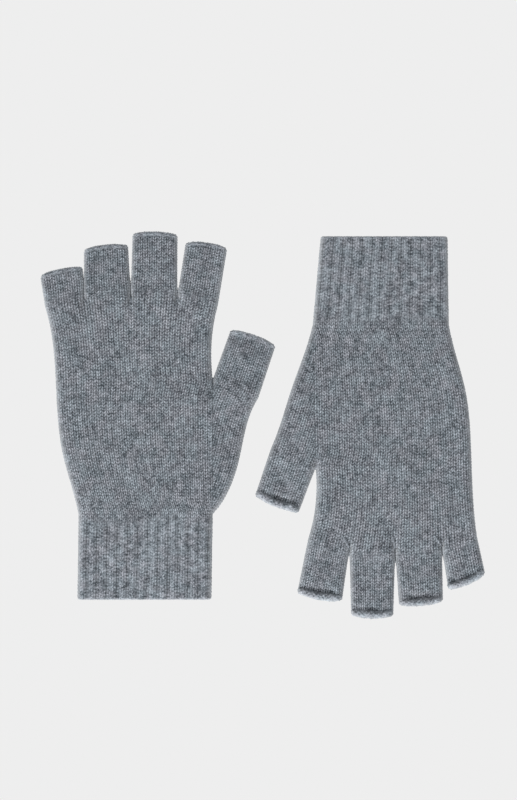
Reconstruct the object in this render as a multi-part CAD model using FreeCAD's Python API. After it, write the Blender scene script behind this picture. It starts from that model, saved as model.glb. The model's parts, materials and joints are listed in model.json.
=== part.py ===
"""A pair of knitted fingerless gloves lying flat side by side, fingertips pointing opposite ways.

Millimetres, +Z up, the resting surface is Z = 0 and the origin is the middle of the pair.
Each glove is drawn in its own flat pattern frame: the origin is the middle of the wrist line, +X runs
towards the thumb and +Y towards the fingertips. Every section is a flattened tube of knit fabric, open
at both ends, and a hinge gap separates sections that fold against each other.
"""

import FreeCAD, Part
import math
import os
from FreeCAD import Vector

# Fabric and flattened tubes
MID_HEIGHT = 4.4  # height of the tubes' middle plane above the table
HALF_HAND = 4.4  # half the thickness of the hand and cuff tubes
HALF_FINGER = 3.6  # half the thickness of the finger and thumb tubes
WALL_PLAIN = 1.5  # plain knit
WALL_RIB = 2.0  # ribbed knit
ROUND_HAND = 6.0  # how far in from its side a hand tube reaches full thickness
ROUND_CUFF = 5.0
ROUND_FINGER = 4.2
LEVEL_ANGLES = (-90, -60, -30, 0, 30, 60, 90)  # a tube's side, from underside to top side
HOLLOW_OVERSHOOT = 1.0  # how far a hollow runs out past the ends that it opens

# Folds: two tubes this thick, with flat-cut ends this far from the fold's axis, can fold this far
FINGER_FOLD_DEG = 75
CUFF_FOLD_DEG = 60
FINGER_HALF_GAP = HALF_HAND * math.tan(math.radians(FINGER_FOLD_DEG / 2)) - 0.2
CUFF_HALF_GAP = HALF_HAND * math.tan(math.radians(CUFF_FOLD_DEG / 2)) + 0.1
SIDE_CLEARANCE = 0.5  # from a finger tube's root to the line it shares with its neighbour

# Edges and darns
ROLL_RADIUS = 1.6  # rolled edge round each finger end, and cast-on edge round the cuff
ROLL_GAP = 0.05  # between a rolled edge and the tube it finishes
DARN_RADIUS = 1.2  # yarn column that closes the hole at each crotch
DARN_SETBACK = 2.4  # from the crotch, into the hand
DARN_CLEARANCE = 0.02

# Flat patterns. Every line and end is given from its little-finger side to its thumb side, and every
# side of the hand from the wrist towards the fingers, without the corners that other lines give.
FINGERS = ("little", "ring", "middle", "index")
GLOVES = {
    "left": {
        "origin": (-70.1, -53.7),
        "turn": 0,
        "cuff_length": 51.6,
        "wrist": ((-39.6, 0.0), (40.8, 0.0)),
        "cuff_end": ((-40.3, -51.6), (40.0, -51.6)),
        "little_side": [(-43.0, 14.0), (-49.1, 36.0), (-52.6, 66.0), (-54.4, 97.0)],
        "thumb_side": [(50.3, 14.0), (57.4, 36.0), (61.6, 55.0)],
        "index_side": [(39.9, 97.0), (41.1, 112.0)],
        "thumb_root": ((40.8, 80.4), (68.0, 69.3)),
        "finger_roots": [(-59.6, 124.2), (-36.2, 128.5), (-8.3, 130.0), (19.5, 129.5), (43.9, 125.3)],
        "ends": {
            "thumb": ((52.2, 111.8), (79.0, 102.2)),
            "little": ((-62.9, 143.6), (-37.8, 149.4)),
            "ring": ((-36.6, 159.4), (-10.2, 162.5)),
            "middle": ((-7.2, 169.1), (19.7, 168.7)),
            "index": ((24.8, 163.8), (49.6, 160.4)),
        },
    },
    "right": {
        "origin": (71.8, 59.7),
        "turn": 180,
        "cuff_length": 53.4,
        "wrist": ((-40.6, 0.0), (41.0, 0.0)),
        "cuff_end": ((-39.8, -53.4), (36.3, -53.4)),
        "little_side": [(-44.0, 15.0), (-50.3, 38.0), (-53.8, 72.0), (-55.1, 104.0)],
        "thumb_side": [(45.3, 15.0), (54.3, 40.0), (60.9, 61.0)],
        "index_side": [(38.7, 98.0), (40.2, 114.0)],
        "thumb_root": ((39.3, 85.4), (66.2, 74.4)),
        "finger_roots": [(-57.4, 126.8), (-36.3, 132.4), (-8.4, 134.4), (19.0, 134.0), (43.7, 128.2)],
        "ends": {
            "thumb": ((50.1, 113.8), (76.2, 103.8)),
            "little": ((-63.0, 150.6), (-41.0, 160.0)),
            "ring": ((-37.2, 166.9), (-10.9, 169.2)),
            "middle": ((-7.2, 175.7), (18.0, 175.5)),
            "index": ((23.9, 166.8), (50.6, 162.0)),
        },
    },
}


def step(point, direction, distance):
    return (point[0] + direction[0] * distance, point[1] + direction[1] * distance)


def middle_of(line):
    return ((line[0][0] + line[1][0]) / 2, (line[0][1] + line[1][1]) / 2)


def length_of(line):
    return math.hypot(line[1][0] - line[0][0], line[1][1] - line[0][1])


def directions(line):
    """Unit vectors across a tube, along this line, and out along the tube, away from the hand."""
    length = length_of(line)
    across = ((line[1][0] - line[0][0]) / length, (line[1][1] - line[0][1]) / length)
    return across, (-across[1], across[0])


def gone(side, direction, distance):
    """The point where a side, a line of two points, has gone this far in a direction."""
    run = (side[1][0] - side[0][0], side[1][1] - side[0][1])
    share = distance / (run[0] * direction[0] + run[1] * direction[1])
    return step(side[0], run, share)


def digit_lines(glove, name):
    """The root line and the end line of a finger or of the thumb."""
    if name == "thumb":
        return glove["thumb_root"], glove["ends"]["thumb"]
    place = FINGERS.index(name)
    return glove["finger_roots"][place : place + 2], glove["ends"][name]


def folds(glove):
    """Each fold of a glove: a point on its axis, the way its section points, and its range in degrees."""
    found = {}
    for name in ("thumb", *FINGERS):
        root, _ = digit_lines(glove, name)
        _, outward = directions(root)
        found[name] = (step(middle_of(root), outward, FINGER_HALF_GAP), outward, FINGER_FOLD_DEG)
    found["cuff"] = ((0.0, -CUFF_HALF_GAP), (0.0, -1.0), CUFF_FOLD_DEG)
    return found


def closed_wire(sides, height):
    """A flat closed wire. A side of two points is straight, and a side of more is a smooth curve."""
    edges = []
    for side in sides:
        points = [Vector(x, y, height) for x, y in side]
        if len(points) == 2:
            edges.append(Part.makeLine(*points))
        else:
            curve = Part.BSplineCurve()
            curve.interpolate(points)
            edges.append(curve.toShape())
    return Part.Wire(edges)


def pillow(outline, half, rounding, inset=0.0, reach=0.0):
    """A solid with rounded sides: the outline drawn in by more and more above and below mid height."""
    wires = []
    for angle in LEVEL_ANGLES:
        a = math.radians(angle)
        drawn_in = inset + rounding * (1 - math.cos(a))
        wires.append(closed_wire(outline(drawn_in, reach), MID_HEIGHT + half * math.sin(a)))
    return Part.makeLoft(wires, True, True)


def fabric_tube(outline, half, rounding, wall):
    """A flattened tube of fabric. An outline takes how far its sides are drawn in and its ends run out."""
    hollow = pillow(outline, half - wall, rounding - wall / 2, inset=wall, reach=HOLLOW_OVERSHOOT)
    return pillow(outline, half, rounding).cut(hollow)


def hand_outline(glove):
    """The hand, from the wrist line to the root lines of the fingers and thumb."""
    thumb_across, thumb_out = directions(glove["thumb_root"])

    def outline(drawn_in, reach):
        wrist = [step(glove["wrist"][0], (1, 0), drawn_in), step(glove["wrist"][1], (-1, 0), drawn_in)]
        wrist = [step(point, (0, -1), reach) for point in wrist]
        thumb = [step(point, thumb_out, reach) for point in glove["thumb_root"]]
        thumb = [step(point, thumb_across, -drawn_in) for point in thumb]
        top = [step(point, (0, 1), reach) for point in glove["finger_roots"]]
        top[0] = step(top[0], (1, 0), drawn_in)
        top[-1] = step(top[-1], (-1, 0), drawn_in)
        little_side = [wrist[0], *(step(point, (1, 0), drawn_in) for point in glove["little_side"]), top[0]]
        thumb_side = [wrist[1], *(step(point, (-1, 0), drawn_in) for point in glove["thumb_side"]), thumb[1]]
        index_side = [thumb[0], *(step(point, (-1, 0), drawn_in) for point in glove["index_side"]), top[-1]]
        roots = [[top[i + 1], top[i]] for i in reversed(range(len(FINGERS)))]
        return [wrist, thumb_side, thumb[::-1], index_side, *roots, little_side[::-1]]

    return outline


def digit_outline(glove, name):
    """A finger or thumb tube, from past its fold to just short of its rolled edge."""
    root, end = digit_lines(glove, name)
    across, outward = directions(root)
    end_across, end_outward = directions(end)
    little_side = (step(root[0], across, SIDE_CLEARANCE), end[0])
    thumb_side = (step(root[1], across, -SIDE_CLEARANCE), end[1])
    edge_room = 2 * ROLL_RADIUS + ROLL_GAP

    def outline(drawn_in, reach):
        start = [gone(side, outward, 2 * FINGER_HALF_GAP - reach) for side in (little_side, thumb_side)]
        stop = [gone(side[::-1], end_outward, reach - edge_room) for side in (little_side, thumb_side)]
        a, b = step(start[0], across, drawn_in), step(start[1], across, -drawn_in)
        c, d = step(stop[1], end_across, -drawn_in), step(stop[0], end_across, drawn_in)
        return [[a, b], [b, c], [c, d], [d, a]]

    return outline


def cuff_outline(glove):
    """The ribbed cuff, from past the wrist fold to just short of its cast-on edge."""
    sides = [(top, bottom) for top, bottom in zip(glove["wrist"], glove["cuff_end"])]
    length = glove["cuff_length"] - 2 * ROLL_RADIUS - ROLL_GAP

    def outline(drawn_in, reach):
        d, c = (gone(side, (0, -1), 2 * CUFF_HALF_GAP - reach) for side in sides)
        a, b = (gone(side, (0, -1), length + reach) for side in sides)
        a, d = (step(point, (1, 0), drawn_in) for point in (a, d))
        b, c = (step(point, (-1, 0), drawn_in) for point in (b, c))
        return [[a, b], [b, c], [c, d], [d, a]]

    return outline


def rolled_edge(end):
    """A roll of fabric round a flattened opening: a round bar swept along two lines and two half circles."""
    across, outward = directions(end)
    centre = step(middle_of(end), outward, -ROLL_RADIUS)
    bend = HALF_HAND - ROLL_RADIUS
    straight = length_of(end) / 2 - ROLL_RADIUS - bend

    def at(sideways, height):
        return Vector(*step(centre, across, sideways), MID_HEIGHT + height)

    path = Part.Wire(
        [
            Part.makeLine(at(-straight, bend), at(straight, bend)),
            Part.Arc(at(straight, bend), at(straight + bend, 0), at(straight, -bend)).toShape(),
            Part.makeLine(at(straight, -bend), at(-straight, -bend)),
            Part.Arc(at(-straight, -bend), at(-straight - bend, 0), at(-straight, bend)).toShape(),
        ]
    )
    bar = Part.Wire(Part.makeCircle(ROLL_RADIUS, at(-straight, bend), Vector(*across, 0)))
    return path.makePipeShell([bar], True, True)


def crotch_darns(glove):
    """Yarn columns that tie the two layers of the hand together at each crotch."""
    thumb_across, thumb_out = directions(glove["thumb_root"])
    beside_thumb = step(glove["thumb_root"][0], thumb_across, WALL_PLAIN)
    places = [step(crotch, (0, -1), DARN_SETBACK) for crotch in glove["finger_roots"][1:-1]]
    places.append(step(beside_thumb, thumb_out, -DARN_SETBACK))
    half = HALF_HAND - WALL_PLAIN - DARN_CLEARANCE
    return [
        Part.makeCylinder(DARN_RADIUS, 2 * half, Vector(x, y, MID_HEIGHT - half), Vector(0, 0, 1))
        for x, y in places
    ]


def glove_parts(glove):
    """Every piece of one glove in its pattern frame, as {name: list of solids}."""
    cuff_end = glove["cuff_end"][::-1]  # turned round, because the cuff points away from the fingers
    parts = {
        "hand": [fabric_tube(hand_outline(glove), HALF_HAND, ROUND_HAND, WALL_PLAIN)],
        "crotch_darns": crotch_darns(glove),
        "cuff": [fabric_tube(cuff_outline(glove), HALF_HAND, ROUND_CUFF, WALL_RIB)],
        "cuff_edge": [rolled_edge(cuff_end)],
    }
    for name in ("thumb", *FINGERS):
        outline = digit_outline(glove, name)
        parts[name] = [fabric_tube(outline, HALF_FINGER, ROUND_FINGER, WALL_PLAIN)]
        parts[name + "_edge"] = [rolled_edge(glove["ends"][name])]
    return parts


def placed(shape, glove):
    """A shape moved from the glove's pattern frame to the pair's frame."""
    shape = shape.copy()
    shape.rotate(Vector(0, 0, 0), Vector(0, 0, 1), glove["turn"])
    shape.translate(Vector(*glove["origin"], 0))
    return shape


def pair_parts():
    """Every piece of the pair by node name."""
    return {
        f"{side}_{name}": [placed(solid, glove) for solid in solids]
        for side, glove in GLOVES.items()
        for name, solids in glove_parts(glove).items()
    }


def centring(parts):
    """The shift that puts the middle of the pair's box at the origin."""
    box = Part.makeCompound([solid for solids in parts.values() for solid in solids]).BoundBox
    return Vector(-box.Center.x, -box.Center.y, 0)


def main():
    os.makedirs("parts", exist_ok=True)
    parts = pair_parts()
    shift = centring(parts)
    for name, solids in parts.items():
        shape = Part.makeCompound([solid.translated(shift) for solid in solids])
        shape.exportStep(f"parts/{name}.step")


if __name__ == "__main__":
    main()
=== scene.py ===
import json

import bpy
import numpy as np
from mathutils import Matrix, Vector


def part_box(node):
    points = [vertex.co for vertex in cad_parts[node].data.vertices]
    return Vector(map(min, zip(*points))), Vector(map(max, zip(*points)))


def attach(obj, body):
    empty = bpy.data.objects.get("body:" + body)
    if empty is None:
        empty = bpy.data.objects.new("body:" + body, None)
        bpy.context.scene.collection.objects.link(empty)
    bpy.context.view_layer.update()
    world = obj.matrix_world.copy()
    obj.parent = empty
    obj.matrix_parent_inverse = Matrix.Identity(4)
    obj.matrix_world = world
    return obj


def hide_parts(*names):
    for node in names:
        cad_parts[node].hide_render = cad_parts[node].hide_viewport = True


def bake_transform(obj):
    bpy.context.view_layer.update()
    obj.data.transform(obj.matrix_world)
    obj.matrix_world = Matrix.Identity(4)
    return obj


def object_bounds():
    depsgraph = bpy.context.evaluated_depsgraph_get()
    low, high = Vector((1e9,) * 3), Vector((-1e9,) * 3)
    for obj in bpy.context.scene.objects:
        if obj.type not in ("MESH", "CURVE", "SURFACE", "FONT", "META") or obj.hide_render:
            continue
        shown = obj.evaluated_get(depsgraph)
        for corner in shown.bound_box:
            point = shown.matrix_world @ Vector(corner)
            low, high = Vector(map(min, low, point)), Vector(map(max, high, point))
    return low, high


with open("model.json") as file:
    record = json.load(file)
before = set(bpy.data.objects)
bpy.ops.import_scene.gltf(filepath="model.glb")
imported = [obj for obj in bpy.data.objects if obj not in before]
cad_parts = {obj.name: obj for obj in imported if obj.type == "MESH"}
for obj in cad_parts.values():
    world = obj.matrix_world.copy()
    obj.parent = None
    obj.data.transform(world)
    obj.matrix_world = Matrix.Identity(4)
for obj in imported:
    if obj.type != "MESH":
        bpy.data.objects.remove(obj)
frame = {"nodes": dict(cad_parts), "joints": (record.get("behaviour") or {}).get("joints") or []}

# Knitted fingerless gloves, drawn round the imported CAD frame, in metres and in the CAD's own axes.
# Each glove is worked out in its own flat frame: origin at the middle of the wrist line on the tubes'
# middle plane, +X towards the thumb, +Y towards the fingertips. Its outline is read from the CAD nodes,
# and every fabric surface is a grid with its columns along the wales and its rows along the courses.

CAD_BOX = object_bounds()
MM = 0.001
NEAR_CORNER = 0.3 * MM  # the outline is read this far from its corners
SLICES = 25  # places along a side where it is read
DIGITS = ("thumb", "little", "ring", "middle", "index")

# The knit: a wale is a column of stitches and a course is a row
WALE = 2.9 * MM
HAND_COURSE = 1.86 * MM
DIGIT_COURSE = 1.7 * MM
CUFF_COURSE = 2.07 * MM
RIB = 6.2 * MM  # a raised wale and a sunk one
WALE_STEPS = 8  # grid columns in a wale
COURSE_STEPS = 5  # grid rows in a course
RIB_STEPS = 16  # grid columns in a rib
HAND_WALES = 33  # across a face of the hand, without the thumb gusset
GUSSET_WALES = 11
MEETING_COURSES = 4  # courses in which the hand's stitches turn into those of a tube
WALL = 1.5 * MM  # thickness of the fabric under its relief

# The relief of the stitches
STITCH_RELIEF = 0.55 * MM
RIB_RELIEF = 0.8 * MM
MEAN_HEIGHT = 0.5  # share of the relief that lies under the CAD's surface
FOLD_RELIEF = 0.65  # share of it that is left where the fabric turns over at its sides
NAP = 0.05 * MM  # roughness of the brushed fibres
LEG_POWER = 0.9  # under 1 makes the section of a stitch's leg fuller
V_SLANT = 0.9  # how many courses a stitch's leg rises from the middle of the wale to its side
MIDDLE_OF_V = 0.25  # height of the line where a stitch's two legs meet
BEAD = 0.65  # how much of a leg's height comes and goes along it
BEAD_PEAK = 0.7  # over 0 makes the top of a bead narrower than the dip between two
RAISED = 0.5  # share of a rib's width that is its raised wale
SUNK_HEIGHT = 0.7  # of the stitches of a sunk wale, beside those of a raised one
RIB_RISE = 0.33  # share of a rib's relief that is its rise and fall, and not its stitches
RIB_LEVELLING = 0.42  # how far the painted shade of the sunk ribs is lifted, and that of the raised ribs deepened
STRAY = 0.05  # how far the stitch columns stray in slow waves, in wales
WAVER = 0.02  # how far in quick ones
RIB_STRAY = 0.8  # how far the ribs stray for each wale that the stitch columns do
STITCH_SPREAD = 0.22  # how much the random values of stitches differ
INSIDE_RELIEF = 0.3  # what the materials are given for the inner skin, which has no stitches

# The shape of the flattened tubes
ROUNDING = 5.5 * MM  # how far in from a side a hand tube reaches full thickness
TIP_ROUNDING = 4.2 * MM
CUFF_ROUNDING = 5.0 * MM
GROOVE_STRETCH = 0.3  # under 1 makes the groove below a crotch longer than it is wide
LOOSENESS = 0.09  # share of its height that the upper fabric loses where it lies lowest
FOLD_LENGTH = 10 * MM  # fabric past a finger's root over which its tube goes from the hand's thickness and rounding to its own
CUFF_FOLD_LENGTH = 9 * MM
END_BOW = 1.3 * MM  # how far the middle of a finger's end stands out beyond its corners
EDGE_DIP = 0.4  # share of its thickness that a finger tube loses behind a fully rolled edge
EDGE_DIP_SHADE = 0.2  # how much painted shade darkens the stitches in that dip
EDGE_DIP_START = 8.0 * MM  # how far before the end the dip begins
EDGE_DIP_FULL = 4.4 * MM  # and from where on it is deepest
TOUCHING_GAP = 0.7 * MM  # fingers press together up to where the gap between them is this wide
TOUCHING_PRESS = 0.1 * MM  # how far they press into each other

# The cloth simulation
CLOTH_STEP = 5  # mesh steps of the knit for one step of the cloth
CLOTH_SCALE = 10  # the cloth is simulated this much larger, where its solver is at home
CLOTH_FRAMES = 20  # moments that the simulation runs for
CLOTH_STIFFNESS = 0.05
CLOTH_NUDGE = 0.1 * MM  # random unevenness that the waves start from
SPARE_FABRIC = 0.01  # share of its size that the cloth grows, which raises the waves
CLOTH_WAVE = 0.4 * MM  # height that the highest wave is brought down to

# The rolled edges and the darns
CURL = {"left": 0.15, "right": 1.0}  # how far a glove's finger edges have rolled
THUMB_CURL = 0.6  # how far a thumb's edge has rolled at least
ROLL_TURNS = 20  # mesh steps round a roll
ROLL_STRAY = 0.9 * MM  # how far a roll's path strays in and out
LIP_RADIUS = 1.3 * MM
DARN_RADIUS = 0.95 * MM
DARN_STEPS = 64  # mesh steps along a strand
DARN_TURNS = 12  # and round it
DARN_TWIST = 5  # steps along a strand in which its two plies change places
DARN_REACH = {"left": 4 * MM, "right": 9 * MM}
DARN_LEANS = (0.55, 0.2, 0.45, -0.5)  # from straight down, in radians, from the little finger to the thumb

# The colours of the yarn, its painted sheen and the studio
DARK_FIBRE = np.array([0.108, 0.126, 0.145])
LIGHT_FIBRE = np.array([0.516, 0.561, 0.611])
PAINTED_SHEEN_COLOUR = (0.60, 0.62, 0.64, 1)
WARM_TINT = (1.03, 0.99, 1.0, 1)
COOL_TINT = (0.97, 1.0, 1.01, 1)
SHEEN_TINT = (0.86, 0.9, 0.93, 1)
FLOOR_COLOUR = (0.855, 0.855, 0.855, 1)
WORLD_COLOUR = (0.855, 0.86, 0.87, 1)

HUE_PATCH = 7 * MM  # size of the patches that are a shade warmer or cooler

# The noises of the heathered yarn, each with its size, detail, roughness and share of the blend
YARN_NOISES = {
    "cloud": (9 * MM, 1.0, 0.5, 0.5),
    "mottle": (2.6 * MM, 1.0, 0.5, 0.9),
    "fleck": (0.9 * MM, 4.0, 0.6, 3.4),
    "fibre": (0.3 * MM, 2.0, 0.6, 1.0),
}

# The studio
WORLD_STRENGTH = 0.69
KEY_PLACE = Vector((-1.1, -2.2, 1.4))  # from the middle of the gloves
KEY_SIZE = 1.2
KEY_POWER = 72.0
FLOOR_HALF = 4.0
FLOOR_DROP = 0.4 * MM  # the lowest stitches stand out below the CAD's underside
LENS = 100  # in millimetres
VIEW_HEIGHT = 0.480  # height of the view at the gloves, 1.8 times their own
VIEW_SHIFT = Vector((-2.6 * MM, 15.0 * MM, 0))  # from the middle of the gloves to the middle of the view


def smooth(x):
    """From 0 to 1 as x goes from 0 to 1, level at both ends."""
    t = np.clip(x, 0, 1)
    return t * t * (3 - 2 * t)


def add_object(name, data):
    made = bpy.data.objects.new(name, data)
    bpy.context.scene.collection.objects.link(made)
    return made


# ---- the flat patterns, from the CAD frame


def mesh_points(mesh):
    co = np.empty(len(mesh.vertices) * 3)
    mesh.vertices.foreach_get("co", co)
    return co.reshape(-1, 3)


def mesh_edges(mesh):
    ends = np.empty(len(mesh.edges) * 2, int)
    mesh.edges.foreach_get("vertices", ends)
    return ends.reshape(-1, 2)


class SideLine:
    """One side of a hand: x as a function of y, carried on straight past its two ends."""

    def __init__(self, heights, xs):
        beyond = 20 * MM
        slope = np.gradient(xs, heights)
        self.y = np.concatenate([[heights[0] - beyond], heights, [heights[-1] + beyond]])
        self.x = np.concatenate([[xs[0] - slope[0] * beyond], xs, [xs[-1] + slope[-1] * beyond]])
        self.cos = 1 / np.hypot(1, np.gradient(self.x, self.y))

    def at(self, y):
        return np.interp(y, self.y, self.x)

    def distance(self, x, y):
        """How far a point is from this side, measured square to it."""
        return np.abs(x - self.at(y)) * np.interp(y, self.y, self.cos)


class Glove:
    """Where a glove lies and what its flat pattern is."""

    def __init__(self, side):
        self.side = side
        self.folds = {j["name"]: j for j in frame["joints"]}
        fold = self.folds[f"{side}_cuff_fold"]
        self.right = -np.array(fold["axis"])
        self.up = np.cross((0, 0, 1), self.right)
        hand = self.cad_points("hand")
        pivot = np.array(fold["pos_m"])
        self.origin = pivot + self.up * ((hand - pivot) @ self.up).min()
        self.half = pivot[2]
        self.hand = self.flat(hand)
        self.lines = {name: self.digit_lines(name) for name in DIGITS}
        self.measure_hand()

    def cad_points(self, part):
        return mesh_points(frame["nodes"][f"{self.side}_{part}"].data)

    def flat(self, points):
        away = points - self.origin
        return np.stack([away @ self.right, away @ self.up, away[:, 2]], axis=1)

    def matrix(self):
        m = Matrix.Identity(4)
        for row in range(3):
            m[row][0], m[row][1], m[row][3] = self.right[row], self.up[row], self.origin[row]
        return m

    def world(self, point):
        return self.matrix() @ Vector((point[0], point[1], 0))

    def end_line(self, part, across):
        """The finished end of a tube from its rolled edge's node: its two corners, and the roll's radius."""
        edge = self.flat(self.cad_points(part))[:, :2]
        long_way = np.linalg.svd(edge - edge.mean(0), full_matrices=False)[2][0]
        long_way = long_way * np.sign(long_way @ across)
        square = np.array([-long_way[1], long_way[0]])
        along, out = edge @ long_way, edge @ square
        level = square * (out.max() + out.min()) / 2
        return level + long_way * along.min(), level + long_way * along.max(), np.ptp(out) / 2

    def digit_lines(self, name):
        """A digit's root line and its rolled edge's line, each from the little-finger side."""
        fold = self.folds[f"{self.side}_{name}_fold"]
        pivot = self.flat(np.array([fold["pos_m"]]))[0, :2]
        across = np.array([np.dot(fold["axis"], self.right), np.dot(fold["axis"], self.up)])
        out = np.array([-across[1], across[0]])
        sideways, outward = (self.hand[:, :2] - pivot) @ across, (self.hand[:, :2] - pivot) @ out
        tube = self.flat(self.cad_points(name))[:, :2]
        root = -((tube - pivot) @ out).min()  # a fold's axis lies midway between the hand and the tube
        on_root = (np.abs(outward - root) < 0.1 * MM) & (np.abs(sideways) < 20 * MM)
        ends = sideways[on_root].min(), sideways[on_root].max()
        corners = [pivot + out * root + across * end for end in ends]
        return {"root": corners, "end": self.end_line(f"{name}_edge", across), "across": across, "out": out}

    def measure_hand(self):
        """The sides of the hand's outline, and its corners."""
        edges = mesh_edges(frame["nodes"][f"{self.side}_hand"].data)
        a, b = self.hand[edges[:, 0]], self.hand[edges[:, 1]]
        thumb_root, across = self.lines["thumb"]["root"], self.lines["thumb"]["across"]
        first, last = self.lines["little"]["root"][0], self.lines["index"]["root"][1]
        self.roots = np.array([first] + [self.lines[n]["root"][1] for n in DIGITS[1:]])

        def side(low, high, pick):
            """The side that pick chooses of all the places where the mesh crosses each height."""
            heights = np.linspace(low, high, SLICES)
            xs = []
            for h in heights:
                cut = (a[:, 1] - h) * (b[:, 1] - h) < 0
                share = (h - a[cut, 1]) / (b[cut, 1] - a[cut, 1])
                xs.append(pick(a[cut, 0] + share * (b[cut, 0] - a[cut, 0])))
            return SideLine(heights, np.array(xs))

        near = NEAR_CORNER
        self.little_side = side(near, first[1] - near, np.min)
        self.thumb_side = side(near, thumb_root[1][1] - near, np.max)
        self.index_side = side(thumb_root[0][1] + near, last[1] - near, np.max)
        self.corner = np.array([self.thumb_side.at(0), 0.0])
        for _ in range(3):  # the thumb's root line begins where it crosses the index finger's side
            over = self.index_side.at(thumb_root[0][1]) - thumb_root[0][0]
            thumb_root[0] = thumb_root[0] + over / across[0] * across
        self.crotch = thumb_root[0]


# ---- stitches


def plain_stitches(wale, course):
    """Height from 0 to 1 of plain knit, where each stitch is two slanting legs that make a V."""
    legs = np.abs(np.sin(2 * np.pi * wale)) ** LEG_POWER
    inside = 1 - np.abs(2 * (wale % 1) - 1)
    legs = np.maximum(legs, MIDDLE_OF_V * smooth(2 * inside - 1))
    along = 2 * np.pi * (course + V_SLANT * inside)
    return legs * (1 - BEAD + BEAD * (0.5 + 0.5 * np.cos(along + BEAD_PEAK * np.sin(along))))


def rib_stitches(rib, course, rise):
    """Height from 0 to 1 of one-by-one rib: a raised wale of plain stitches, then a sunk wale of bumps.
    rise is the share of it that is the ribs' rise and fall, and not their stitches."""
    place = rib % 1
    swell = 0.5 + 0.5 * np.cos(2 * np.pi * (place - RAISED / 2))
    knit = plain_stitches(place / RAISED, course)
    bumps = 0.2 + 0.8 * np.abs(np.sin(2 * np.pi * (place - RAISED) / (1 - RAISED)))
    purl = bumps * (0.72 + 0.28 * np.cos(2 * np.pi * course))
    stitch = np.where(place < RAISED, knit, SUNK_HEIGHT * purl)
    return rise * swell + (1 - rise) * stitch


def wander(points):
    """How far the stitch columns stray to the side, in wales, the same for all the pieces of a glove."""
    x, y = points[..., 0], points[..., 1]
    slow = np.sin(x / (13 * MM) + 1.9 * np.sin(y / (21 * MM)))
    quick = np.sin(y / (6.1 * MM) + x / (4.3 * MM))
    return STRAY * slow * np.sin(y / (9 * MM) + 0.8) + WAVER * quick


def random_per_stitch(wale, course, seed, repeat=None):
    """A smooth random value from 0 to 1 for each stitch. With repeat it joins up after so many wales."""
    wales, courses = int(repeat or wale.max() + 3), int(course.max()) + 3
    random = np.random.default_rng(seed).normal(size=(courses, wales))
    table = np.clip(0.5 + STITCH_SPREAD * random, 0, 1)
    w, c = np.floor(wale).astype(int), np.floor(course).astype(int)
    fw, fc = smooth(wale - w), smooth(course - c)
    near = table[c, w % wales] * (1 - fw) + table[c, (w + 1) % wales] * fw
    far = table[c + 1, w % wales] * (1 - fw) + table[c + 1, (w + 1) % wales] * fw
    return near * (1 - fc) + far * fc


# ---- meshes


def full_turn(steps):
    return np.linspace(0, 2 * np.pi, steps, endpoint=False)


def vertex_normals(points, blocks):
    normals = np.zeros_like(points)
    for ids in blocks:
        p = points[ids]
        face = np.cross(p[1:, 1:] - p[:-1, :-1], p[1:, :-1] - p[:-1, 1:])
        for corner in (ids[:-1, :-1], ids[:-1, 1:], ids[1:, 1:], ids[1:, :-1]):
            np.add.at(normals, corner.ravel(), face.reshape(-1, 3))
    length = np.linalg.norm(normals, axis=1, keepdims=True)
    return normals / np.maximum(length, 1e-12)


def block_faces(ids, rect, flip=False):
    """Quads of a grid, or triangles where two of a quad's corners are one point, with UVs in a rectangle."""
    rows, columns = ids.shape
    u = np.linspace(rect[0], rect[2], columns)
    v = np.linspace(rect[1], rect[3], rows)
    uv = np.stack(np.meshgrid(u, v), axis=2)
    order = [(0, 0), (0, 1), (1, 1), (1, 0)]
    corners = [ids[r : rows - 1 + r, c : columns - 1 + c].ravel() for r, c in order]
    places = [uv[r : rows - 1 + r, c : columns - 1 + c].reshape(-1, 2) for r, c in order]
    quads, uvs = np.stack(corners, axis=1), np.stack(places, axis=1)
    low, high = quads[:, 0] == quads[:, 1], quads[:, 2] == quads[:, 3]
    kept = [(~low & ~high, [0, 1, 2, 3]), (low & ~high, [0, 2, 3]), (~low & high, [0, 1, 2])]
    way = -1 if flip else 1
    return [(quads[which][:, use[::way]], uvs[which][:, use[::way]]) for which, use in kept if which.any()]


def painted_side_sheen(normal_z):
    """Painted sheen where the fabric turns over at a side, for the light that its nap catches there: most
    where it is halfway round.
    """
    turned = 1 - np.abs(normal_z)
    return smooth(turned / 0.5) * (1 - 0.8 * smooth((turned - 0.5) / 0.5))


def rim_faces(run, step, inner, rect):
    """Polygons that join a fine outer border to the inner skin, which has one point for each step of it."""
    faces, uvs = [], []
    stops = list(range(0, len(run), step))
    for k0, k1 in zip(stops[:-1], stops[1:]):
        outer = list(dict.fromkeys(run[k0 : k1 + 1].tolist()))
        if len(outer) < 2:
            continue
        ends = [inner[run[k0]], inner[run[k1]]]
        u0, u1 = rect[0] + (rect[2] - rect[0]) * np.array([k0, k1]) / (len(run) - 1)
        faces.append(outer[::-1] + ends)
        across = np.linspace(u1, u0, len(outer))
        uvs.append([(x, rect[1]) for x in across] + [(u0, rect[3]), (u1, rect[3])])
    return faces, uvs


def mark_sharp(mesh, runs):
    """Keep the shading of a sheet's faces apart from that of its rims, along these runs of points."""
    ends = np.sort(mesh_edges(mesh), axis=1)
    border = np.sort(np.concatenate([np.stack([run[:-1], run[1:]], axis=1) for run in runs]), axis=1)
    count = len(mesh.vertices)
    sharp = np.isin(ends[:, 0] * count + ends[:, 1], border[:, 0] * count + border[:, 1])
    mesh.attributes.new("sharp_edge", "BOOLEAN", "EDGE").data.foreach_set("value", sharp)


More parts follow.
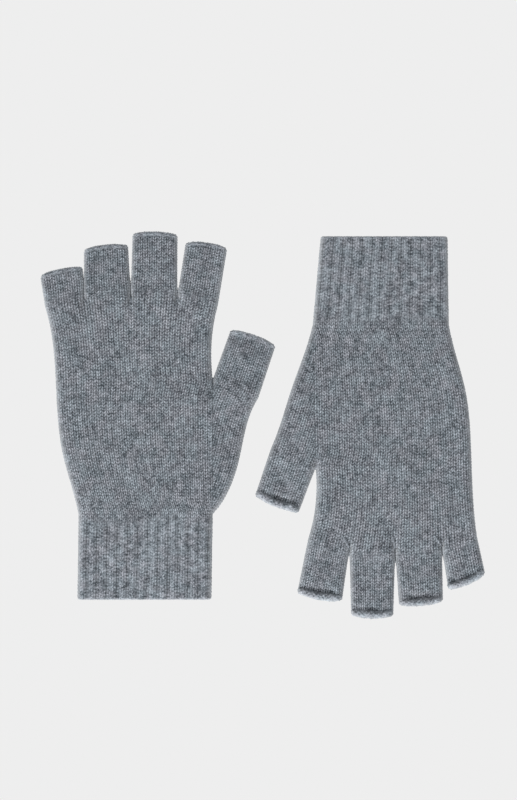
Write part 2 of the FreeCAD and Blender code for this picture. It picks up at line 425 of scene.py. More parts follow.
def make_object(name, glove, points, grids, rims, attributes, runs=()):
    """A mesh from grid faces and rim polygons, with its bake UVs and per-point values."""
    faces, uvs = [], []
    for quads, places in grids:
        faces += quads.tolist()
        uvs.append(places.reshape(-1, 2))
    smooth_count = len(faces)
    for polygons, places in rims:
        faces += polygons
        uvs += [np.array(place) for place in places]
    mesh = bpy.data.meshes.new(f"{glove.side}_{name}")
    mesh.from_pydata(points.tolist(), [], faces)
    shading = np.zeros(len(faces), bool)
    shading[:smooth_count] = True
    mesh.polygons.foreach_set("use_smooth", shading)
    layer = mesh.uv_layers.new(name="OFBake")
    layer.data.foreach_set("uv", np.concatenate(uvs).astype(np.float32).ravel())
    for key, values in attributes.items():
        kind, field = ("FLOAT_VECTOR", "vector") if values.ndim == 2 else ("FLOAT", "value")
        attribute = mesh.attributes.new(key, kind, "POINT")
        attribute.data.foreach_set(field, values.astype(np.float32).ravel())
    if runs:
        mark_sharp(mesh, runs)
    mesh.transform(glove.matrix())
    mesh.update()
    return add_object(f"{glove.side}_{name}", mesh)


def fabric_relief(height, depth, shade, ease, steps, repeat=None):
    """How stitches stand out, for each point: their height from 0 to 1, the depth that 1 stands for, a factor
    on the painted shade that their height gives, and how far they have come up after a seam. steps is the
    columns of points in a stitch, and repeat how many random values go round a tube."""
    each = {"height": height, "depth": depth, "shade": shade, "ease": ease}
    spread = {key: np.broadcast_to(value, height.shape).ravel() for key, value in each.items()}
    return spread | {"steps": steps, "repeat": repeat}


def fabric_shell(name, glove, base, blocks, stitch, relief, runs, rects, seed):
    """A sheet of knit with thickness. base holds the outer points without stitches, blocks the grids of
    their numbers, stitch each point's wale and course, relief what fabric_relief gives, runs the open
    borders as (numbers, steps for one point of the inner skin), and rects where each grid's UVs go."""
    normals = vertex_normals(base, blocks)
    uneven = 0.75 + 0.5 * random_per_stitch(2 * stitch[:, 0], stitch[:, 1], seed + 1, relief["repeat"])
    height = np.clip(relief["height"] * uneven, 0, 1)
    nap = NAP * np.random.default_rng(seed + 2).normal(size=len(base))
    facing = FOLD_RELIEF + (1 - FOLD_RELIEF) * np.abs(normals[:, 2])
    lift = ((height - MEAN_HEIGHT) * relief["depth"] * facing + nap) * relief["ease"]
    outer = base + normals * lift[:, None]
    coarse = [ids[::COURSE_STEPS, :: relief["steps"]] for ids in blocks]
    used = np.unique(np.concatenate([ids.ravel() for ids in coarse]))
    inner_points = base[used] - normals[used] * (WALL + relief["depth"][used])[:, None]
    z = base[used, 2]  # the inner skin stays on its own side of the middle plane
    inner_points[:, 2] = np.clip(inner_points[:, 2], np.minimum(z, 0), np.maximum(z, 0))
    inner = np.full(len(base), -1)
    inner[used] = len(base) + np.arange(len(used))
    grids, rims = [], []
    for ids, rect in zip(blocks, rects["outer"]):
        grids += block_faces(ids, rect)
    for ids, rect in zip(coarse, rects["inner"]):
        grids += block_faces(inner[ids], rect, flip=True)
    x0, y0, x1, y1 = rects["rims"]
    tall = (y1 - y0) / max(len(runs), 1)
    for place, (run, steps) in enumerate(runs):
        rims.append(rim_faces(run, steps, inner, (x0, y0 + tall * place, x1, y0 + tall * (place + 0.9))))
    points = np.concatenate([outer, inner_points])
    tone = random_per_stitch(2 * stitch[:, 0], stitch[:, 1], seed, relief["repeat"])
    # In the materials, relief becomes painted shade between the stitches and a painted highlight on their
    # tops, and the last value is painted sheen where the fabric turns over at a side.
    attributes = {
        "rest": points,
        "relief": np.concatenate([height * relief["shade"], np.full(len(used), INSIDE_RELIEF)]),
        "tone": np.concatenate([tone, tone[used]]),
        "painted_sheen": np.concatenate([painted_side_sheen(normals[:, 2]), np.zeros(len(used))]),
    }
    return make_object(name, glove, points, grids, rims, attributes, [run for run, _ in runs])


# ---- flattened tubes


def profile(distance, rounding):
    """Share of full thickness at this distance from a rounded side."""
    return np.sqrt(np.clip(1 - (1 - np.clip(distance / rounding, 0, 1)) ** 2, 0, 1))


def quarter_arc(half, rounding):
    """Length of the way round a rounded side, from mid height to where the face is flat."""
    return np.pi / 2 * np.sqrt((half**2 + rounding**2) / 2)


def extra_arc(half, rounding):
    """How much longer the way round a rounded side is, from mid height, than straight across it."""
    return quarter_arc(half, rounding) - rounding


def in_from_side(arc, half, rounding):
    """How far in from a side a point is, after going this far round it from mid height."""
    quarter = quarter_arc(half, rounding)
    turned = np.minimum(arc / quarter, 1) * np.pi / 2
    return rounding * (1 - np.cos(turned)) + np.maximum(arc - quarter, 0)


def spread_across(share, width, half, rounding, both):
    """Places across a face for even steps along the fabric. both is 1 with two rounded sides, 0 with one."""
    extra = extra_arc(half, rounding)
    one = in_from_side(share * (width + extra), half, rounding)
    near = in_from_side(share * (width + 2 * extra), half, rounding)
    far = width - in_from_side((1 - share) * (width + 2 * extra), half, rounding)
    two = np.where(share < 0.5, near, far)
    return one * (1 - both) + two * both


def ripple(points):
    """Shallow unevenness of fabric that lies loose, from 0 to 1."""
    x, y = points[..., 0], points[..., 1]
    waves = np.sin(x / (9 * MM) + 1.3 * np.sin(y / (17 * MM))) + np.sin(y / (13 * MM) - x / (21 * MM) + 0.7)
    return 0.5 + 0.25 * waves


def cloth_sheet(points, shape, pinned):
    """A sheet of Blender's cloth on a grid of points, held where pinned, with a little fabric to spare."""
    mesh = bpy.data.meshes.new("cloth")
    faces = block_faces(np.arange(len(points)).reshape(shape), (0, 0, 1, 1))[0][0]
    mesh.from_pydata(points.tolist(), [], faces.tolist())
    sheet = add_object("cloth", mesh)
    sheet.vertex_groups.new(name="pinned").add(np.flatnonzero(pinned).tolist(), 1.0, "REPLACE")
    cloth = sheet.modifiers.new("cloth", "CLOTH")
    cloth.point_cache.frame_end = CLOTH_FRAMES
    settings = cloth.settings
    settings.vertex_group_mass = "pinned"
    settings.shrink_min = -SPARE_FABRIC
    settings.bending_stiffness = CLOTH_STIFFNESS
    settings.effector_weights.gravity = 0
    return sheet


def settle(points, ids, seed):
    """How far each point of a grid rises or sinks when its fabric settles as cloth, pinned at its border."""
    shape = (ids.shape[0] // CLOTH_STEP, ids.shape[1] // CLOTH_STEP)
    places = [np.linspace(0, fine - 1, coarse) for fine, coarse in zip(ids.shape, shape)]
    rows, columns = [place.round().astype(int) for place in places]
    start = points[ids[np.ix_(rows, columns)]].reshape(-1, 3) * CLOTH_SCALE
    nudge = np.random.default_rng(seed).normal(size=len(start)) * CLOTH_NUDGE * CLOTH_SCALE
    pinned = np.ones(shape, bool)
    pinned[1:-1, 1:-1] = False
    start[:, 2] += np.where(pinned.ravel(), 0, nudge)
    sheet = cloth_sheet(start, shape, pinned.ravel())
    for moment in range(1, CLOTH_FRAMES + 1):
        bpy.context.scene.frame_set(moment)
    end = mesh_points(sheet.evaluated_get(bpy.context.evaluated_depsgraph_get()).data)
    mesh = sheet.data
    bpy.data.objects.remove(sheet)
    bpy.data.meshes.remove(mesh)
    bpy.context.scene.frame_set(1)
    rise = (end - start)[:, 2].reshape(shape)
    rise *= CLOTH_WAVE / np.abs(rise).max()
    fine = np.stack([np.interp(np.arange(ids.shape[1]), columns, row) for row in rise])
    return np.stack([np.interp(np.arange(ids.shape[0]), rows, column) for column in fine.T], axis=1)


def flat_tube(sides, half_columns, half, rounding):
    """Points of a flattened tube as rows of a closed ring: over the top from the first side to the
    second, and back underneath. half is half the height of each row, and rounding that of its sides."""
    first, second = sides
    share = np.linspace(0, 1, half_columns + 1)[None, :]
    width = np.linalg.norm(second - first, axis=1)[:, None]
    h, r = half[:, None], rounding[:, None]
    across = spread_across(share, width, h, r, 1)
    top = first[:, None, :] + (second - first)[:, None, :] * (across / width)[:, :, None]
    z = h * profile(across, r) * profile(width - across, r)
    upper = np.dstack([top, z * (1 - LOOSENESS * ripple(top))])
    lower = np.dstack([top, -z])[:, ::-1]
    return np.concatenate([upper[:, :-1], lower[:, :-1]], axis=1)


def closed_block(shape, wrap_rows=False):
    """The numbers of the points of a grid that joins up with itself sideways, and with wrap_rows endways."""
    ids = np.arange(shape[0] * shape[1]).reshape(shape)
    return np.pad(ids, ((0, int(wrap_rows)), (0, 1)), mode="wrap")


# Where the grids of a tube go in its square of UVs
TUBE_RECTS = {
    "outer": [(0.01, 0.01, 0.99, 0.80)],
    "inner": [(0.01, 0.82, 0.99, 0.92)],
    "rims": (0.01, 0.94, 0.99, 0.99),
}


def straight_sides(root, end, count):
    """The two sides of a tube, from its root corners to its end corners."""
    rows = np.linspace(0, 1, count)[:, None]
    return [root[k] + rows * (end[k] - root[k]) for k in (0, 1)]


def ease_at_root(rows):
    """0 where a piece meets the hand, so that both have the same surface there, and 1 soon after."""
    return smooth(rows / (COURSE_STEPS / 2 + 1))


def tube_piece(name, glove, points, steps, height, depth, shade, seed):
    """A tube of knit from its ring rows, open at both ends."""
    ids = closed_block(points.shape[:2])
    rows, columns = np.indices(points.shape[:2])
    stitch = np.stack([columns.ravel() / steps, rows.ravel() / COURSE_STEPS], axis=1)
    repeat = 2 * points.shape[1] // steps
    relief = fabric_relief(height, depth, shade, ease_at_root(rows), steps, repeat)
    runs = [(ids[0], steps), (ids[-1, ::-1], steps)]
    return fabric_shell(name, glove, points.reshape(-1, 3), [ids], stitch, relief, runs, TUBE_RECTS, seed)


def curl(glove, name):
    """How far a digit's edge has rolled, from 0 to 1. The left thumb's has gone further than its fingers'."""
    return max(CURL[glove.side], THUMB_CURL) if name == "thumb" else CURL[glove.side]


def bow(sideways):
    """How far a finger's end stands out at a place from -1 to 1 across it."""
    return END_BOW * (0.6 - sideways**2)


def edge_dip(back, length, around, seed):
    """How deep the dip behind a rolled edge is, from 0 to 1, at a share of the length back from the end.
    It is deepest in the middle of a face and uneven along it."""
    deep = smooth((EDGE_DIP_START - back * length) / (EDGE_DIP_START - EDGE_DIP_FULL))
    waves = np.random.default_rng(seed).uniform(0, 2 * np.pi, size=3)
    uneven = sum(np.sin((k + 1) * 4 * np.pi * around + wave) for k, wave in enumerate(waves)) / 3
    return deep * np.clip(0.15 + 0.6 * np.abs(np.sin(2 * np.pi * around)) + 0.6 * uneven, 0, 1)


def press_together(glove, name, sides, across, length):
    """Widen a finger next to its crotches until it meets its neighbour, as two plump tubes do."""
    fingers = DIGITS[1:]
    if name not in fingers:
        return
    place = fingers.index(name)
    away = np.linspace(0, length, len(sides[0]))
    for edge, beside, sign in ((0, place - 1, -1), (1, place + 1, 1)):
        if not 0 <= beside < len(fingers):
            continue
        other = glove.lines[fingers[beside]]
        their = other["end"][1 - edge] - other["root"][1 - edge]
        mine = sides[edge][-1] - sides[edge][0]
        gap = away * np.linalg.norm(their / np.linalg.norm(their) - mine / np.linalg.norm(mine))
        near = 1 - smooth(gap / TOUCHING_GAP - 0.7)
        wide = (gap / 2 + TOUCHING_PRESS * smooth(away / (2 * MM))) * near
        sides[edge] += sign * wide[:, None] * across


def meeting_stitches(glove, points, own, course):
    """The hand's stitch pattern where a tube leaves it, which turns into the tube's own."""
    xs, wales = glove.wrist_wales if course.min() < 0 else glove.root_wales
    shared = np.interp(points[0, :, 0], xs, wales)[None, :] + wander(points)
    share = smooth(np.abs(course) / MEETING_COURSES)
    return plain_stitches(shared, course) * (1 - share) + own * share


def digit_points(glove, name, seed):
    """The points of a digit's tube in rows from its root, and how deep the dip behind its edge is there."""
    lines = glove.lines[name]
    root, end = lines["root"], lines["end"]
    length = np.linalg.norm((end[0] + end[1] - root[0] - root[1]) / 2)
    width = np.linalg.norm(root[1] - root[0] + end[1] - end[0]) / 2
    wales = round((width + 2 * extra_arc(glove.half, ROUNDING)) / WALE)
    low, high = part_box(f"{glove.side}_{name}")
    sides = straight_sides(root, end, round(length / DIGIT_COURSE) * COURSE_STEPS + 1)
    press_together(glove, name, sides, lines["across"], length)
    past_fold = smooth(np.linspace(0, 1, len(sides[0])) * length / FOLD_LENGTH)
    half = glove.half + ((high.z - low.z) / 2 - glove.half) * past_fold
    rounding = ROUNDING + (TIP_ROUNDING - ROUNDING) * past_fold
    points = flat_tube(sides, wales * WALE_STEPS, half, rounding)
    rows, columns = np.indices(points.shape[:2])
    share = rows / (len(points) - 1)
    dip = edge_dip(1 - share, length, columns / points.shape[1], seed) * curl(glove, name)
    points[:, :, 2] *= 1 - EDGE_DIP * dip
    halfway = (sides[0] + sides[1])[:, None] / 2
    half_width = np.linalg.norm(sides[1] - sides[0], axis=1)[:, None] / 2
    sideways = (points[:, :, :2] - halfway) @ lines["across"] / half_width
    points[:, :, :2] += (bow(sideways) * share**2)[:, :, None] * lines["out"]
    return points, dip


def bend_at_fold(piece, glove, start, way):
    """Bake the tube's place into its points. The stretch of fabric from start along way, where it would bend
    between the hand and its own body, is worked out but not used.
    """
    ends = {"start": glove.world(start), "end": glove.world(start + way)}
    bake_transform(piece)


def digit_tube(glove, name, seed):
    points, dip = digit_points(glove, name, seed)
    rows, columns = np.indices(dip.shape)
    course = rows / COURSE_STEPS
    height = plain_stitches(columns / WALE_STEPS + wander(points), course)
    if name != "thumb":
        height = meeting_stitches(glove, points, height, course)
    # Painted shade in the dip behind a rolled edge.
    shade = 1 - EDGE_DIP_SHADE * dip
    piece = tube_piece(f"{name}_knit", glove, points, WALE_STEPS, height, STITCH_RELIEF, shade, seed)
    lines = glove.lines[name]
    bend_at_fold(piece, glove, (lines["root"][0] + lines["root"][1]) / 2, lines["out"] * FOLD_LENGTH)
    finish_piece(piece, glove, "plain_knit", name)


def cuff_tube(glove, seed):
    first, second, _ = glove.end_line("cuff_edge", np.array([-1.0, 0.0]))
    root = [glove.corner, np.array([glove.little_side.at(0), 0.0])]
    length = -(first[1] + second[1]) / 2
    courses = round(length / CUFF_COURSE)
    width = np.linalg.norm(root[1] - root[0])
    ribs = round((width + 2 * extra_arc(glove.half, CUFF_ROUNDING)) / RIB)
    sides = straight_sides(root, [first, second], courses * COURSE_STEPS + 1)
    rounding = ROUNDING + (CUFF_ROUNDING - ROUNDING) * np.linspace(0, 1, len(sides[0]))
    points = flat_tube(sides, ribs * RIB_STEPS, np.full(len(sides[0]), glove.half), rounding)
    rows, columns = np.indices(points.shape[:2])
    rib, course = columns / RIB_STEPS + RIB_STRAY * wander(points), -rows / COURSE_STEPS
    height = meeting_stitches(glove, points, rib_stitches(rib, course, RIB_RISE), course)
    depth = STITCH_RELIEF + (RIB_RELIEF - STITCH_RELIEF) * smooth(-course / MEETING_COURSES)
    # The sunk ribs' painted shade is lifted and the raised ribs' deepened, fading in over the first courses
    # past the wrist.
    shade = 1 + RIB_LEVELLING * (0.6 - rib_stitches(rib, course, 1.0)) * smooth(-course / 5)
    glove.cuff_ring, glove.cuff_height = points[-1], height[-1]
    piece = tube_piece("cuff_knit", glove, points, RIB_STEPS, height, depth, shade, seed)
    bend_at_fold(piece, glove, np.zeros(2), np.array([0, -CUFF_FOLD_LENGTH]))
    finish_piece(piece, glove, "rib_knit", "cuff")


# ---- the hand


def hand_height(glove, x, y):
    """Half thickness of the hand's flattened tube at each point."""
    below = y <= glove.crotch[1]
    right = np.where(below, glove.thumb_side.distance(x, y), glove.index_side.distance(x, y))
    z = glove.half * profile(glove.little_side.distance(x, y), ROUNDING) * profile(right, ROUNDING)
    for cx, cy in glove.roots[1:-1]:
        z = z * profile(np.hypot(x - cx, GROOVE_STRETCH * (cy - y)), ROUNDING)
    cx, cy = glove.crotch
    slit = profile(np.hypot(x - cx, GROOVE_STRETCH * (cy - y)), ROUNDING)
    return np.where(below, z * slit, z)


def root_row(glove, share):
    """Where the columns meet the finger roots, after sliding so that one of them meets each crotch."""
    roots = glove.roots
    width = roots[-1, 0] - roots[0, 0]
    extra = extra_arc(glove.half, ROUNDING)
    wanted = (roots[1:-1, 0] - roots[0, 0] + extra) / (width + 2 * extra)
    nearest = np.round(wanted * (len(share) - 1)) / (len(share) - 1)
    share = np.interp(share, [0, *nearest, 1], [0, *wanted, 1])
    y = np.interp(roots[0, 0] + share * width, roots[:, 0], roots[:, 1])
    for _ in range(4):
        left, right = glove.little_side.at(y), glove.index_side.at(y)
        x = left + spread_across(share, right - left, glove.half, ROUNDING, 1)
        y = np.interp(x, roots[:, 0], roots[:, 1])
    return share, y


def main_grid(glove, columns):
    """The main part of a face of the hand, from the wrist to the finger roots, and the crotch's row in it."""
    share, top = root_row(glove, np.linspace(0, 1, columns + 1))
    courses = round(top.mean() / HAND_COURSE)
    crotch_share = glove.crotch[1] / top[-1]
    crotch_row = COURSE_STEPS * round(crotch_share * courses)
    rows = courses * COURSE_STEPS
    up = np.interp(np.arange(rows + 1), [0, crotch_row, rows], [0, crotch_share, 1])
    y = up[:, None] * top[None, :]
    gusset_line = SideLine(np.array([0, glove.crotch[1]]), np.array([glove.corner[0], glove.crotch[0]]))
    left = glove.little_side.at(y)
    right = np.where(y > glove.crotch[1], glove.index_side.at(y), gusset_line.at(y))
    both = np.maximum(smooth(1 - y / (10 * MM)), smooth(1 + (y - glove.crotch[1]) / (12 * MM)))
    x = left + spread_across(share[None, :], right - left, glove.half, ROUNDING, both)
    return np.dstack([x, y]), crotch_row


def gusset_grid(glove, inner):
    """The thumb's gusset, from the line where it leaves the main part out to the hand's side. It narrows
    towards the wrist, and its columns close on the inner line one by one. Also says which points have."""
    thumb_low = glove.lines["thumb"]["root"][1]
    outer_y = np.linspace(0, thumb_low[1], len(inner))
    outer = np.stack([glove.thumb_side.at(outer_y), outer_y], axis=1)
    outer[-1] = thumb_low
    reach = np.linalg.norm(inner - outer, axis=1)[:, None]
    arc = np.arange(GUSSET_WALES * WALE_STEPS, -1, -1)[None, :] * WALE / WALE_STEPS
    away = in_from_side(arc, glove.half, ROUNDING)
    closed = away > reach - 0.05 * MM
    closed[:, 0] = True
    inward = (away / np.maximum(reach, 0.001 * MM))[:, :, None]
    return outer[:, None, :] + (inner - outer)[:, None, :] * inward, closed


def hand_grid(glove):
    """One face of the hand: its points, the grids of the main part and the gusset, and stitch places."""
    columns = HAND_WALES * WALE_STEPS
    flat, crotch_row = main_grid(glove, columns)
    flat_gusset, closed = gusset_grid(glove, flat[: crotch_row + 1, -1])
    main = np.arange(flat.shape[0] * flat.shape[1]).reshape(flat.shape[:2])
    gusset = np.where(closed, main[: crotch_row + 1, -1][:, None], 0)
    gusset[~closed] = main.size + np.arange((~closed).sum())

    def of_points(in_main, in_gusset):
        """Values in both grids, as one list in the order of the points."""
        rest = in_gusset[~closed]
        return np.concatenate([in_main.reshape(main.size, -1), rest.reshape(len(rest), -1)])

    x, y = of_points(flat, flat_gusset).T
    points = np.column_stack([x, y, hand_height(glove, x, y)])
    rows, across = np.indices(main.shape)
    gusset_rows, gusset_across = np.indices(closed.shape)
    wale = of_points(across, columns + gusset_across)[:, 0] / WALE_STEPS
    from_wrist = of_points(rows, gusset_rows)[:, 0]
    to_top = of_points(len(main) - 1 - rows, crotch_row - gusset_rows)[:, 0]
    ease = ease_at_root(np.minimum(to_top, from_wrist))
    wales = np.arange(columns + 1) / WALE_STEPS
    glove.wrist_wales, glove.root_wales = (flat[0, :, 0], wales), (flat[-1, :, 0], wales)
    return points, main, gusset, crotch_row, np.column_stack([wale, from_wrist / COURSE_STEPS]), ease


# Where the grids of a hand's face go in its square of UVs
HAND_RECTS = {
    "outer": [(0.01, 0.01, 0.74, 0.99), (0.76, 0.01, 0.99, 0.60)],
    "inner": [(0.76, 0.62, 0.87, 0.90), (0.88, 0.62, 0.99, 0.90)],
    "rims": (0.76, 0.92, 0.99, 0.99),
}


def hand_face(glove, upper, seed):
    """The upper or the under face of the hand as one sheet, closed along its borders."""
    points, main, gusset, crotch_row, stitch, ease = hand_grid(glove)
    height = plain_stitches(stitch[:, 0] + wander(points), stitch[:, 1])
    blocks = [main, gusset]
    borders = [
        (main[0], WALE_STEPS),
        (gusset[:, -1], COURSE_STEPS),
        (gusset[-1, ::-1], WALE_STEPS),
        (main[crotch_row:, -1], COURSE_STEPS),
        (main[-1, ::-1], WALE_STEPS),
        (main[::-1, 0], COURSE_STEPS),
    ]
    if upper:
        points[:, 2] *= 1 - LOOSENESS * ripple(points)
        points[main, 2] += settle(points, main, seed + 3)
    else:  # the same sheet upside down, so its grids and borders run the other way round
        points[:, 2] *= -1
        blocks = [ids[:, ::-1] for ids in blocks]
        borders = [(run[::-1], steps) for run, steps in borders[:1] + borders[:0:-1]]
    relief = fabric_relief(height, STITCH_RELIEF, 1, ease, WALE_STEPS)
    name = f"hand_{'upper' if upper else 'under'}_knit"
    piece = fabric_shell(name, glove, points, blocks, stitch, relief, borders, HAND_RECTS, seed)
    finish_piece(piece, glove, "plain_knit", "hand", "hand")


# ---- rolled edges and darns


def swept_ring(name, glove, path, side_way, out_way, radii, wale, seed, painted_lift=0.2):
    """A closed roll of fabric or yarn along a closed path. side_way and out_way are unit vectors square to
    the path, and radii holds the roll's radius for each step round it and each step along it. The last
    argument lifts the painted shade of the whole surface, so that it looks paler."""
    turns = radii.shape[0]
    angle = full_turn(turns)[:, None, None]
    offset = radii[:, :, None] * (np.cos(angle) * side_way[None] + np.sin(angle) * out_way[None])
    points = (path[None] + offset).reshape(-1, 3)
    ids = closed_block(radii.shape, wrap_rows=True)
    grids = block_faces(ids, (0.01, 0.01, 0.99, 0.99))
    turn, along = np.indices(radii.shape)
    tone = random_per_stitch(wale[along].ravel(), turn.ravel() * 4 / turns, seed)
    uneven = (radii - radii.min()) / np.ptp(radii)
    in_crease = smooth(-0.2 - 1.2 * np.sin(angle[:, :, 0]))  # 1 on the side that faces back along the tube
    # The crease side of the roll gets painted shade, the bulges a painted highlight, and the sides painted
    # sheen away from the crease.
    relief = (painted_lift + 0.4 * uneven) * (1 - 0.6 * in_crease)
    painted_sheen = painted_side_sheen(offset[:, :, 2] / radii) * (1 - in_crease)
    attributes = {"rest": points, "relief": relief.ravel(), "tone": tone, "painted_sheen": painted_sheen.ravel()}
    return make_object(name, glove, points, grids, [], attributes)


def racetrack(count, straight, bend):
    """Even steps round a flattened loop: sideways and height places, and the outward direction's parts."""
    level, turn = 2 * straight, np.pi * bend
    s = np.arange(count) / count * 2 * (level + turn)
    turned = np.clip(s - level, 0, turn) + np.clip(s - 2 * level - turn, 0, turn)
    centre = np.clip(s, 0, level) - np.clip(s - level - turn, 0, level) - straight
    out_side, out_height = np.cos(np.pi / 2 - turned / bend), np.sin(np.pi / 2 - turned / bend)
    return centre + bend * out_side, bend * out_height, out_side, out_height


def digit_edge(glove, name, seed):
    """The bind-off roll round a finger's open end, which shows the back of the knit."""
    first, second, radius = glove.lines[name]["end"]
    middle, long_way = (first + second) / 2, (second - first) / np.linalg.norm(second - first)
    out = np.array([-long_way[1], long_way[0]])
    thickness = radius * (0.8 + 0.9 * curl(glove, name))
    bend = glove.half - radius
    straight = np.linalg.norm(second - first) / 2 - radius - bend
    repeats = round((4 * straight + 2 * np.pi * bend) / WALE)
    side, height, out_side, out_height = racetrack(repeats * WALE_STEPS, straight, bend)
    wale = np.arange(len(side)) / WALE_STEPS
    slow = random_per_stitch(wale / 3, 0 * wale, seed + 5, -(-repeats // 3)) - 0.5
    shift = radius - thickness + ROLL_STRAY * slow + bow(side / (straight + bend))
    path = np.column_stack([middle + side[:, None] * long_way + shift[:, None] * out, height])
    side_way = np.column_stack([out_side[:, None] * long_way, out_height])
    out_way = np.tile(np.append(out, 0.0), (len(wale), 1))
    angle = full_turn(ROLL_TURNS)[:, None]
    bumps = 0.82 + 0.18 * np.cos(2 * np.pi * wale[None, :]) * np.cos(5 * angle)
    uneven = 0.85 + 0.3 * random_per_stitch(2 * wale + 0 * angle, angle + 0 * wale, seed + 6, 2 * repeats)
    flatter = 1 - 0.3 * np.abs(np.cos(angle)) * (thickness > radius)
    radii = thickness * bumps * uneven * flatter * (1 - 0.25 * slow)
    # The further an edge has rolled, the paler its painted shade.
    painted_lift = 0.15 + 0.25 * curl(glove, name)
    piece = swept_ring(f"{name}_edge_roll", glove, path, side_way, out_way, radii, wale, seed, painted_lift)
    finish_piece(piece, glove, "edge_roll", f"{name}_edge", name)


def cuff_edge(glove, seed):
    """The turned lip where the rib begins. It carries on from the cuff's last row, ribs and all."""
    ring = glove.cuff_ring
    along = np.roll(ring, -1, axis=0) - np.roll(ring, 1, axis=0)
    out_way = np.tile([0.0, -1.0, 0.0], (len(ring), 1))
    side_way = np.cross(along, out_way)
    side_way /= np.linalg.norm(side_way, axis=1, keepdims=True)
    angle = full_turn(ROLL_TURNS)[:, None]
    outside = smooth(0.5 + 0.8 * np.cos(angle - 0.6))
    radii = LIP_RADIUS + (glove.cuff_height - MEAN_HEIGHT)[None, :] * RIB_RELIEF * outside
    path = ring - side_way * LIP_RADIUS
    rib = np.arange(len(ring)) / RIB_STEPS
    piece = swept_ring("cuff_edge_lip", glove, path, side_way, out_way, radii, 2 * rib, seed)
    finish_piece(piece, glove, "rib_knit", "cuff_edge", "cuff")


def darn_strand(glove, start, stop, name, seed):
    """A loop of yarn that runs over the fabric from start to stop and comes back underneath."""
    t = full_turn(DARN_STEPS)
    share = 0.5 - 0.5 * np.cos(t)
    plan = start + share[:, None] * (stop - start)
    over = np.sign(np.sin(t)) * np.abs(np.sin(t)) ** 0.35
    z = over * (hand_height(glove, plan[:, 0], plan[:, 1]) - DARN_RADIUS * 0.3)
    path = np.column_stack([plan, z])
    way = (stop - start) / np.linalg.norm(stop - start)
    square = np.tile([-way[1], way[0], 0.0], (len(t), 1))
    forward = np.roll(path, -1, axis=0) - np.roll(path, 1, axis=0)
    normal = np.cross(forward, square)
    normal /= np.linalg.norm(normal, axis=1, keepdims=True)
    twist = np.arange(len(t)) / DARN_TWIST
    angle = full_turn(DARN_TURNS)[:, None]
    ply = 0.85 + 0.15 * np.cos(2 * angle + 2 * np.pi * twist[None, :])
    return swept_ring(name, glove, path, normal, square, DARN_RADIUS * ply, twist, seed)


def darns(glove, seed):
    """Yarn that closes each crotch, joined into one object. It slants towards the thumb."""
    made = []
    crotches = [*glove.roots[1:-1], glove.crotch]
    for place, (crotch, lean) in enumerate(zip(crotches, DARN_LEANS)):
        top = crotch + np.array([0, 0.6 * MM])
        stop = top + DARN_REACH[glove.side] * np.array([np.sin(lean), -np.cos(lean)])
        made.append(darn_strand(glove, top, stop, f"darn_{place}", seed + place))
    piece = made[0]
    with bpy.context.temp_override(active_object=piece, selected_editable_objects=made):
        bpy.ops.object.join()
    piece.name = f"{glove.side}_crotch_darn_yarn"
    finish_piece(piece, glove, "darn_yarn", "crotch_darns", "hand")


# ---- materials


class Shader:
    """Short forms for building a node tree."""

    def __init__(self, name):
        self.material = bpy.data.materials.new(name)
        self.material.use_nodes = True
        self.tree = self.material.node_tree
        self.tree.nodes.clear()

    def node(self, kind, inputs=(), **settings):
        made = self.tree.nodes.new(kind)
        for key, value in settings.items():
            setattr(made, key, value)
        for key, value in dict(inputs).items():
            if isinstance(value, bpy.types.NodeSocket):
                self.tree.links.new(value, made.inputs[key])
            else:
                made.inputs[key].default_value = value
        return made

    def value(self, name):
        return self.node("ShaderNodeAttribute", attribute_name=name).outputs["Fac"]

    def noise(self, vector, size, detail, roughness=0.5):
        inputs = {"Vector": vector, "Scale": 1 / size, "Detail": detail, "Roughness": roughness}
        return self.node("ShaderNodeTexNoise", inputs).outputs["Fac"]

    def math(self, operation, a, b):
        return self.node("ShaderNodeMath", {0: a, 1: b}, operation=operation).outputs[0]

    def around(self, value, strength):
        """A value about 0.5, made into an addition about 0."""
        return self.math("MULTIPLY", self.math("SUBTRACT", value, 0.5), strength)

    def mix(self, factor, a, b, blend="MIX"):
        """Two colours mixed. Inputs 0, 6 and 7 are the factor and the colours, and output 2 is the mix."""
        inputs = {0: factor, 6: a, 7: b}
        return self.node("ShaderNodeMix", inputs, data_type="RGBA", blend_type=blend).outputs[2]

    def finished(self, surface):
        self.node("ShaderNodeOutputMaterial", {"Surface": surface.outputs[0]})
        return self.material


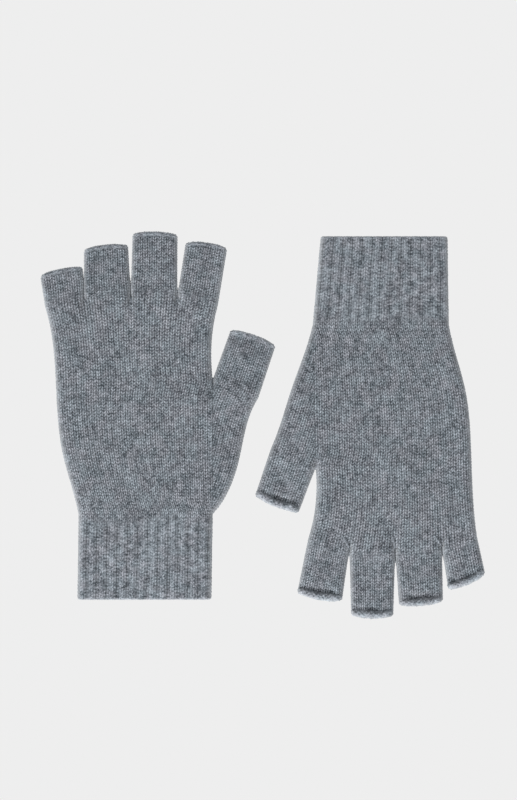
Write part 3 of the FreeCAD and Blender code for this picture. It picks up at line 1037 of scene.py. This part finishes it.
def heather(name, brightness, depth=0.12, painted_sheen_share=0.42):
    """Heathered cashmere: dark and light fibres spun together, with a soft nap, painted shade between the
    stitches and a painted highlight on their tops. depth is how bright the painted shade leaves the yarn
    between the stitches, and the last argument how much painted sheen shows where the fabric turns over."""
    s = Shader(name)
    rest = s.node("ShaderNodeAttribute", attribute_name="rest").outputs["Vector"]
    noises = {key: s.noise(rest, *settings[:3]) for key, settings in YARN_NOISES.items()}
    blend = s.around(s.value("tone"), 0.5)
    for key, settings in YARN_NOISES.items():
        blend = s.math("ADD", blend, s.around(noises[key], settings[3]))
    blend = s.node("ShaderNodeClamp", {"Value": s.math("ADD", blend, 0.5)}).outputs[0]
    colour = s.mix(blend, (*(DARK_FIBRE * brightness), 1), (*(LIGHT_FIBRE * brightness), 1))
    hue = {"Value": s.noise(rest, HUE_PATCH, 1.0), "From Min": 0.35, "From Max": 0.65}
    tint = s.mix(s.node("ShaderNodeMapRange", hue).outputs[0], WARM_TINT, COOL_TINT)
    colour = s.mix(1.0, colour, tint, blend="MULTIPLY")
    # The relief value becomes painted shade: the yarn between stitches is darkened down to depth, and the
    # tops of stitches get a painted highlight up to 1.5 times as bright.
    lit = {"Value": s.value("relief"), "To Min": depth, "To Max": 1.5}
    shade = s.node("ShaderNodeMapRange", lit).outputs[0]
    grey = s.node("ShaderNodeCombineColor", {0: shade, 1: shade, 2: shade}).outputs[0]
    colour = s.mix(1.0, colour, grey, blend="MULTIPLY")
    # Painted sheen where the fabric turns over at a side.
    colour = s.mix(s.math("MULTIPLY", s.value("painted_sheen"), painted_sheen_share), colour, PAINTED_SHEEN_COLOUR)
    fuzz = s.math("ADD", s.math("MULTIPLY", noises["fleck"], 0.5), noises["fibre"])
    bump = s.node("ShaderNodeBump", {"Strength": 0.6, "Distance": 0.25 * MM, "Height": fuzz})
    cloth = {
        "Base Color": colour,
        "Roughness": 0.95,
        "Specular IOR Level": 0.1,
        "Sheen Weight": 0.3,
        "Sheen Roughness": 0.5,
        "Sheen Tint": SHEEN_TINT,
        "Normal": bump.outputs[0],
    }
    return s.finished(s.node("ShaderNodeBsdfPrincipled", cloth))


MATERIALS = {
    "plain_knit": heather("heather_plain_knit", 1.0),
    "rib_knit": heather("heather_rib_knit", 0.98),
    "edge_roll": heather("heather_edge_roll", 0.98, depth=0.3, painted_sheen_share=0.4),
    "darn_yarn": heather("heather_darn_yarn", 0.8, depth=0.6, painted_sheen_share=0.1),
}


def finish_piece(piece, glove, slot, node, body=None):
    """Give a piece its material, hide the CAD node that it stands for, and put it on the body that it rides
    on, if just one.
    """
    piece.data.materials.clear()
    piece.data.materials.append(MATERIALS[slot])
    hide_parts(f"{glove.side}_{node}")
    if body:
        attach(piece, f"{glove.side}_{body}")


# ---- stage


def floor_material():
    s = Shader("pale_floor")
    return s.finished(s.node("ShaderNodeEmission", {"Color": FLOOR_COLOUR}))


def add_floor():
    mesh = bpy.data.meshes.new("floor")
    corners = [(FLOOR_HALF * x, FLOOR_HALF * y, 0) for x, y in ((-1, -1), (1, -1), (1, 1), (-1, 1))]
    mesh.from_pydata(corners, [], [(0, 1, 2, 3)])
    mesh.materials.append(floor_material())
    floor = add_object("floor", mesh)
    floor.location.z = -FLOOR_DROP


def add_world():
    world = bpy.data.worlds.new("studio")
    world.use_nodes = True
    background = world.node_tree.nodes["Background"]
    background.inputs["Color"].default_value = WORLD_COLOUR
    background.inputs["Strength"].default_value = WORLD_STRENGTH
    bpy.context.scene.world = world


def add_key_light(middle):
    lamp = bpy.data.lights.new("key", "AREA")
    lamp.shape = "DISK"
    lamp.size = KEY_SIZE
    lamp.energy = KEY_POWER
    light = add_object("key", lamp)
    light.location = middle + KEY_PLACE
    light.rotation_euler = (-KEY_PLACE).to_track_quat("-Z", "Y").to_euler()


def add_camera(middle):
    """A camera straight above, as in the photo."""
    lens = bpy.data.cameras.new("camera")
    lens.lens = LENS
    camera = add_object("camera", lens)
    camera.location = middle + VIEW_SHIFT + Vector((0, 0, VIEW_HEIGHT * LENS / lens.sensor_width))
    bpy.context.scene.camera = camera
    bpy.context.scene.view_settings.view_transform = "Standard"


# ---- build


def build_glove(side, seed):
    glove = Glove(side)
    hand_face(glove, True, seed)
    hand_face(glove, False, seed + 10)
    cuff_tube(glove, seed + 20)
    cuff_edge(glove, seed + 30)
    darns(glove, seed + 40)
    for place, name in enumerate(DIGITS):
        digit_tube(glove, name, seed + 50 + 2 * place)
        digit_edge(glove, name, seed + 70 + 2 * place)


for place, side in enumerate(("left", "right")):
    build_glove(side, 100 + 200 * place)
CENTRE = (CAD_BOX[0] + CAD_BOX[1]) / 2
add_floor()
add_world()
add_key_light(CENTRE)
add_camera(CENTRE)
